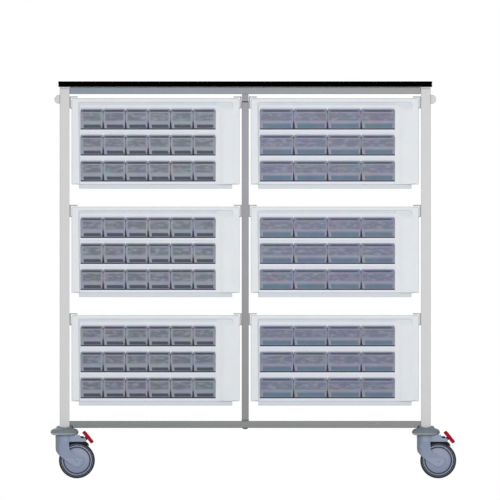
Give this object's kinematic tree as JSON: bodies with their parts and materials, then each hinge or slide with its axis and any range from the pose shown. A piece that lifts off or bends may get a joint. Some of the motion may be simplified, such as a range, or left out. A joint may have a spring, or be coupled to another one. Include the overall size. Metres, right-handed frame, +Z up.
{
  "type": "medical trolley",
  "caption": "Double-column storage trolley on braked casters: a tube frame with a dark worktop and push handles, carrying hanging white casings with rows of clear tilting bins.",
  "frame": {"origin": "on the floor, in the middle of the whole outline with all wheels trailing to +X", "axes": "+X along the trolley's length to the right, +Y from the bin fronts to the back, +Z up"},
  "size_m": [1.4484, 0.515, 1.4153],
  "materials": {
    "black_laminate": "satin",
    "light_grey_paint": "satin",
    "grey_metal": "satin",
    "runner_metal": "satin",
    "white_plastic": "satin",
    "clear_bins": "gloss",
    "caster_plastic": "satin",
    "wheel_plastic": "satin",
    "tyre": "matte",
    "bumper_rubber": "matte",
    "red_plastic": "satin"
  },
  "bodies": {
    "frame": {"worktop": "black_laminate", "top_frame": "grey_metal", "bottom_frame": "grey_metal", "centre_frame": "grey_metal", "left_handle": "light_grey_paint", "left_upper_runner": "runner_metal", "left_middle_runner": "runner_metal", "left_lower_runner": "runner_metal", "front_left_post": "light_grey_paint", "front_left_bumper": "bumper_rubber", "rear_left_post": "light_grey_paint", "rear_left_bumper": "bumper_rubber", "right_handle": "light_grey_paint", "right_upper_runner": "runner_metal", "right_middle_runner": "runner_metal", "right_lower_runner": "runner_metal", "front_right_post": "light_grey_paint", "front_right_bumper": "bumper_rubber", "rear_right_post": "light_grey_paint", "rear_right_bumper": "bumper_rubber"},
    "front_left_swivel": {"front_left_caster_housing": "caster_plastic"},
    "front_left_wheel": {"front_left_wheel_hub": "wheel_plastic", "front_left_tyre": "tyre"},
    "front_left_pedal": {"front_left_brake_pedal": "red_plastic"},
    "rear_left_swivel": {"rear_left_caster_housing": "caster_plastic"},
    "rear_left_wheel": {"rear_left_wheel_hub": "wheel_plastic", "rear_left_tyre": "tyre"},
    "rear_left_pedal": {"rear_left_brake_pedal": "red_plastic"},
    "front_right_swivel": {"front_right_caster_housing": "caster_plastic"},
    "front_right_wheel": {"front_right_wheel_hub": "wheel_plastic", "front_right_tyre": "tyre"},
    "front_right_pedal": {"front_right_brake_pedal": "red_plastic"},
    "rear_right_swivel": {"rear_right_caster_housing": "caster_plastic"},
    "rear_right_wheel": {"rear_right_wheel_hub": "wheel_plastic", "rear_right_tyre": "tyre"},
    "rear_right_pedal": {"rear_right_brake_pedal": "red_plastic"},
    "left_upper_module": {"left_upper_casing": "white_plastic"},
    "left_upper_bin_row_1_tilt": {"left_upper_bin_row_1": "clear_bins"},
    "left_upper_bin_row_2_tilt": {"left_upper_bin_row_2": "clear_bins"},
    "left_upper_bin_row_3_tilt": {"left_upper_bin_row_3": "clear_bins"},
    "left_middle_module": {"left_middle_casing": "white_plastic"},
    "left_middle_bin_row_1_tilt": {"left_middle_bin_row_1": "clear_bins"},
    "left_middle_bin_row_2_tilt": {"left_middle_bin_row_2": "clear_bins"},
    "left_middle_bin_row_3_tilt": {"left_middle_bin_row_3": "clear_bins"},
    "left_lower_module": {"left_lower_casing": "white_plastic"},
    "left_lower_bin_row_1_tilt": {"left_lower_bin_row_1": "clear_bins"},
    "left_lower_bin_row_2_tilt": {"left_lower_bin_row_2": "clear_bins"},
    "left_lower_bin_row_3_tilt": {"left_lower_bin_row_3": "clear_bins"},
    "right_upper_module": {"right_upper_casing": "white_plastic"},
    "right_upper_bin_row_1_tilt": {"right_upper_bin_row_1": "clear_bins"},
    "right_upper_bin_row_2_tilt": {"right_upper_bin_row_2": "clear_bins"},
    "right_upper_bin_row_3_tilt": {"right_upper_bin_row_3": "clear_bins"},
    "right_middle_module": {"right_middle_casing": "white_plastic"},
    "right_middle_bin_row_1_tilt": {"right_middle_bin_row_1": "clear_bins"},
    "right_middle_bin_row_2_tilt": {"right_middle_bin_row_2": "clear_bins"},
    "right_middle_bin_row_3_tilt": {"right_middle_bin_row_3": "clear_bins"},
    "right_lower_module": {"right_lower_casing": "white_plastic"},
    "right_lower_bin_row_1_tilt": {"right_lower_bin_row_1": "clear_bins"},
    "right_lower_bin_row_2_tilt": {"right_lower_bin_row_2": "clear_bins"},
    "right_lower_bin_row_3_tilt": {"right_lower_bin_row_3": "clear_bins"}
  },
  "joints": [
    {"name": "left_upper_module_slide", "type": "slide", "parent": "frame", "child": "left_upper_module", "axis": [0, -1, 0], "range_m": [0, 0.28]},
    {"name": "left_upper_bin_row_1_tilt", "type": "hinge", "parent": "left_upper_module", "child": "left_upper_bin_row_1_tilt", "pos_m": [-0.3765, -0.21, 1.25204], "axis": [1, 0, 0], "range_deg": [0, 42]},
    {"name": "front_left_swivel_turn", "type": "hinge", "parent": "frame", "child": "front_left_swivel", "pos_m": [-0.6745, -0.2075, 0.15], "axis": [0, 0, 1], "continuous": true},
    {"name": "front_left_wheel_roll", "type": "hinge", "parent": "front_left_swivel", "child": "front_left_wheel", "pos_m": [-0.6305, -0.2075, 0.06444], "axis": [0, 1, 0], "continuous": true},
    {"name": "front_left_brake_press", "type": "hinge", "parent": "front_left_swivel", "child": "front_left_pedal", "pos_m": [-0.6035, -0.2075, 0.13844], "axis": [0, 1, 0], "range_deg": [0, 10]},
    {"name": "right_upper_module_slide", "type": "slide", "parent": "frame", "child": "right_upper_module", "axis": [0, -1, 0], "range_m": [0, 0.28]},
    {"name": "right_upper_bin_row_1_tilt", "type": "hinge", "parent": "right_upper_module", "child": "right_upper_bin_row_1_tilt", "pos_m": [0.2635, -0.21, 1.25204], "axis": [1, 0, 0], "range_deg": [0, 42]},
    {"name": "left_upper_bin_row_2_tilt", "type": "hinge", "parent": "left_upper_module", "child": "left_upper_bin_row_2_tilt", "pos_m": [-0.3765, -0.21, 1.15924], "axis": [1, 0, 0], "range_deg": [0, 42]},
    {"name": "left_upper_bin_row_3_tilt", "type": "hinge", "parent": "left_upper_module", "child": "left_upper_bin_row_3_tilt", "pos_m": [-0.3765, -0.21, 1.06644], "axis": [1, 0, 0], "range_deg": [0, 42]},
    {"name": "right_upper_bin_row_2_tilt", "type": "hinge", "parent": "right_upper_module", "child": "right_upper_bin_row_2_tilt", "pos_m": [0.2635, -0.21, 1.15924], "axis": [1, 0, 0], "range_deg": [0, 42]},
    {"name": "right_upper_bin_row_3_tilt", "type": "hinge", "parent": "right_upper_module", "child": "right_upper_bin_row_3_tilt", "pos_m": [0.2635, -0.21, 1.06644], "axis": [1, 0, 0], "range_deg": [0, 42]},
    {"name": "front_right_swivel_turn", "type": "hinge", "parent": "frame", "child": "front_right_swivel", "pos_m": [0.6155, -0.2075, 0.15], "axis": [0, 0, 1], "continuous": true},
    {"name": "front_right_wheel_roll", "type": "hinge", "parent": "front_right_swivel", "child": "front_right_wheel", "pos_m": [0.6595, -0.2075, 0.06444], "axis": [0, 1, 0], "continuous": true},
    {"name": "front_right_brake_press", "type": "hinge", "parent": "front_right_swivel", "child": "front_right_pedal", "pos_m": [0.6865, -0.2075, 0.13844], "axis": [0, 1, 0], "range_deg": [0, 10]},
    {"name": "left_middle_module_slide", "type": "slide", "parent": "frame", "child": "left_middle_module", "axis": [0, -1, 0], "range_m": [0, 0.28]},
    {"name": "left_lower_module_slide", "type": "slide", "parent": "frame", "child": "left_lower_module", "axis": [0, -1, 0], "range_m": [0, 0.28]},
    {"name": "right_middle_module_slide", "type": "slide", "parent": "frame", "child": "right_middle_module", "axis": [0, -1, 0], "range_m": [0, 0.28]},
    {"name": "right_lower_module_slide", "type": "slide", "parent": "frame", "child": "right_lower_module", "axis": [0, -1, 0], "range_m": [0, 0.28]},
    {"name": "rear_left_swivel_turn", "type": "hinge", "parent": "frame", "child": "rear_left_swivel", "pos_m": [-0.6745, 0.2075, 0.15], "axis": [0, 0, 1], "continuous": true},
    {"name": "rear_right_swivel_turn", "type": "hinge", "parent": "frame", "child": "rear_right_swivel", "pos_m": [0.6155, 0.2075, 0.15], "axis": [0, 0, 1], "continuous": true},
    {"name": "rear_left_wheel_roll", "type": "hinge", "parent": "rear_left_swivel", "child": "rear_left_wheel", "pos_m": [-0.6305, 0.2075, 0.06444], "axis": [0, 1, 0], "continuous": true},
    {"name": "rear_right_wheel_roll", "type": "hinge", "parent": "rear_right_swivel", "child": "rear_right_wheel", "pos_m": [0.6595, 0.2075, 0.06444], "axis": [0, 1, 0], "continuous": true},
    {"name": "rear_left_brake_press", "type": "hinge", "parent": "rear_left_swivel", "child": "rear_left_pedal", "pos_m": [-0.6035, 0.2075, 0.13844], "axis": [0, 1, 0], "range_deg": [0, 10]},
    {"name": "rear_right_brake_press", "type": "hinge", "parent": "rear_right_swivel", "child": "rear_right_pedal", "pos_m": [0.6865, 0.2075, 0.13844], "axis": [0, 1, 0], "range_deg": [0, 10]},
    {"name": "left_middle_bin_row_1_tilt", "type": "hinge", "parent": "left_middle_module", "child": "left_middle_bin_row_1_tilt", "pos_m": [-0.3765, -0.21, 0.86504], "axis": [1, 0, 0], "range_deg": [0, 42]},
    {"name": "left_middle_bin_row_2_tilt", "type": "hinge", "parent": "left_middle_module", "child": "left_middle_bin_row_2_tilt", "pos_m": [-0.3765, -0.21, 0.77224], "axis": [1, 0, 0], "range_deg": [0, 42]},
    {"name": "left_middle_bin_row_3_tilt", "type": "hinge", "parent": "left_middle_module", "child": "left_middle_bin_row_3_tilt", "pos_m": [-0.3765, -0.21, 0.67944], "axis": [1, 0, 0], "range_deg": [0, 42]},
    {"name": "left_lower_bin_row_1_tilt", "type": "hinge", "parent": "left_lower_module", "child": "left_lower_bin_row_1_tilt", "pos_m": [-0.3765, -0.21, 0.47804], "axis": [1, 0, 0], "range_deg": [0, 42]},
    {"name": "left_lower_bin_row_2_tilt", "type": "hinge", "parent": "left_lower_module", "child": "left_lower_bin_row_2_tilt", "pos_m": [-0.3765, -0.21, 0.38524], "axis": [1, 0, 0], "range_deg": [0, 42]},
    {"name": "left_lower_bin_row_3_tilt", "type": "hinge", "parent": "left_lower_module", "child": "left_lower_bin_row_3_tilt", "pos_m": [-0.3765, -0.21, 0.29244], "axis": [1, 0, 0], "range_deg": [0, 42]},
    {"name": "right_middle_bin_row_1_tilt", "type": "hinge", "parent": "right_middle_module", "child": "right_middle_bin_row_1_tilt", "pos_m": [0.2635, -0.21, 0.86504], "axis": [1, 0, 0], "range_deg": [0, 42]},
    {"name": "right_middle_bin_row_2_tilt", "type": "hinge", "parent": "right_middle_module", "child": "right_middle_bin_row_2_tilt", "pos_m": [0.2635, -0.21, 0.77224], "axis": [1, 0, 0], "range_deg": [0, 42]},
    {"name": "right_middle_bin_row_3_tilt", "type": "hinge", "parent": "right_middle_module", "child": "right_middle_bin_row_3_tilt", "pos_m": [0.2635, -0.21, 0.67944], "axis": [1, 0, 0], "range_deg": [0, 42]},
    {"name": "right_lower_bin_row_1_tilt", "type": "hinge", "parent": "right_lower_module", "child": "right_lower_bin_row_1_tilt", "pos_m": [0.2635, -0.21, 0.47804], "axis": [1, 0, 0], "range_deg": [0, 42]},
    {"name": "right_lower_bin_row_2_tilt", "type": "hinge", "parent": "right_lower_module", "child": "right_lower_bin_row_2_tilt", "pos_m": [0.2635, -0.21, 0.38524], "axis": [1, 0, 0], "range_deg": [0, 42]},
    {"name": "right_lower_bin_row_3_tilt", "type": "hinge", "parent": "right_lower_module", "child": "right_lower_bin_row_3_tilt", "pos_m": [0.2635, -0.21, 0.29244], "axis": [1, 0, 0], "range_deg": [0, 42]}
  ]
}
